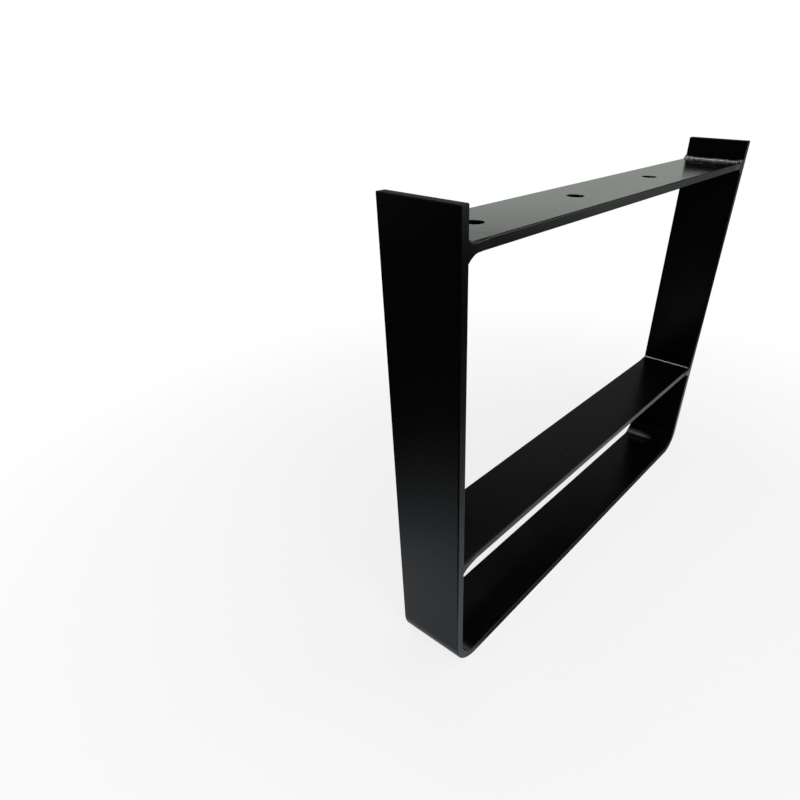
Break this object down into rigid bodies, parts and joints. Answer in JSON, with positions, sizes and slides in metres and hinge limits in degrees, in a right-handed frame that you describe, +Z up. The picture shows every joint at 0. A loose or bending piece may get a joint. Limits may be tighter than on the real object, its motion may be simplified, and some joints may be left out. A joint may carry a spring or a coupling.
{
  "type": "steel bench frame",
  "caption": "Square U of bent flat steel bar with a drilled top bar and a plain lower bar welded between the legs, used as one end support of a bench.",
  "frame": {"origin": "on the floor, midway between the two legs and midway across the width of the bar", "axes": "+X across the frame from leg to leg, +Y across the width of the bar, +Z up"},
  "size_m": [0.51, 0.066, 0.4],
  "materials": {
    "powder_coat": "satin black powder coat"
  },
  "bodies": {
    "root": {"u_frame": "powder_coat", "top_bar": "powder_coat", "lower_bar": "powder_coat", "weld_top_left_over": "powder_coat", "weld_top_left_under": "powder_coat", "weld_top_left_front": "powder_coat", "weld_top_left_back": "powder_coat", "weld_top_right_over": "powder_coat", "weld_top_right_under": "powder_coat", "weld_top_right_front": "powder_coat", "weld_top_right_back": "powder_coat", "weld_lower_left_over": "powder_coat", "weld_lower_left_under": "powder_coat", "weld_lower_left_front": "powder_coat", "weld_lower_left_back": "powder_coat", "weld_lower_right_over": "powder_coat", "weld_lower_right_under": "powder_coat", "weld_lower_right_front": "powder_coat", "weld_lower_right_back": "powder_coat"}
  },
  "joints": []
}
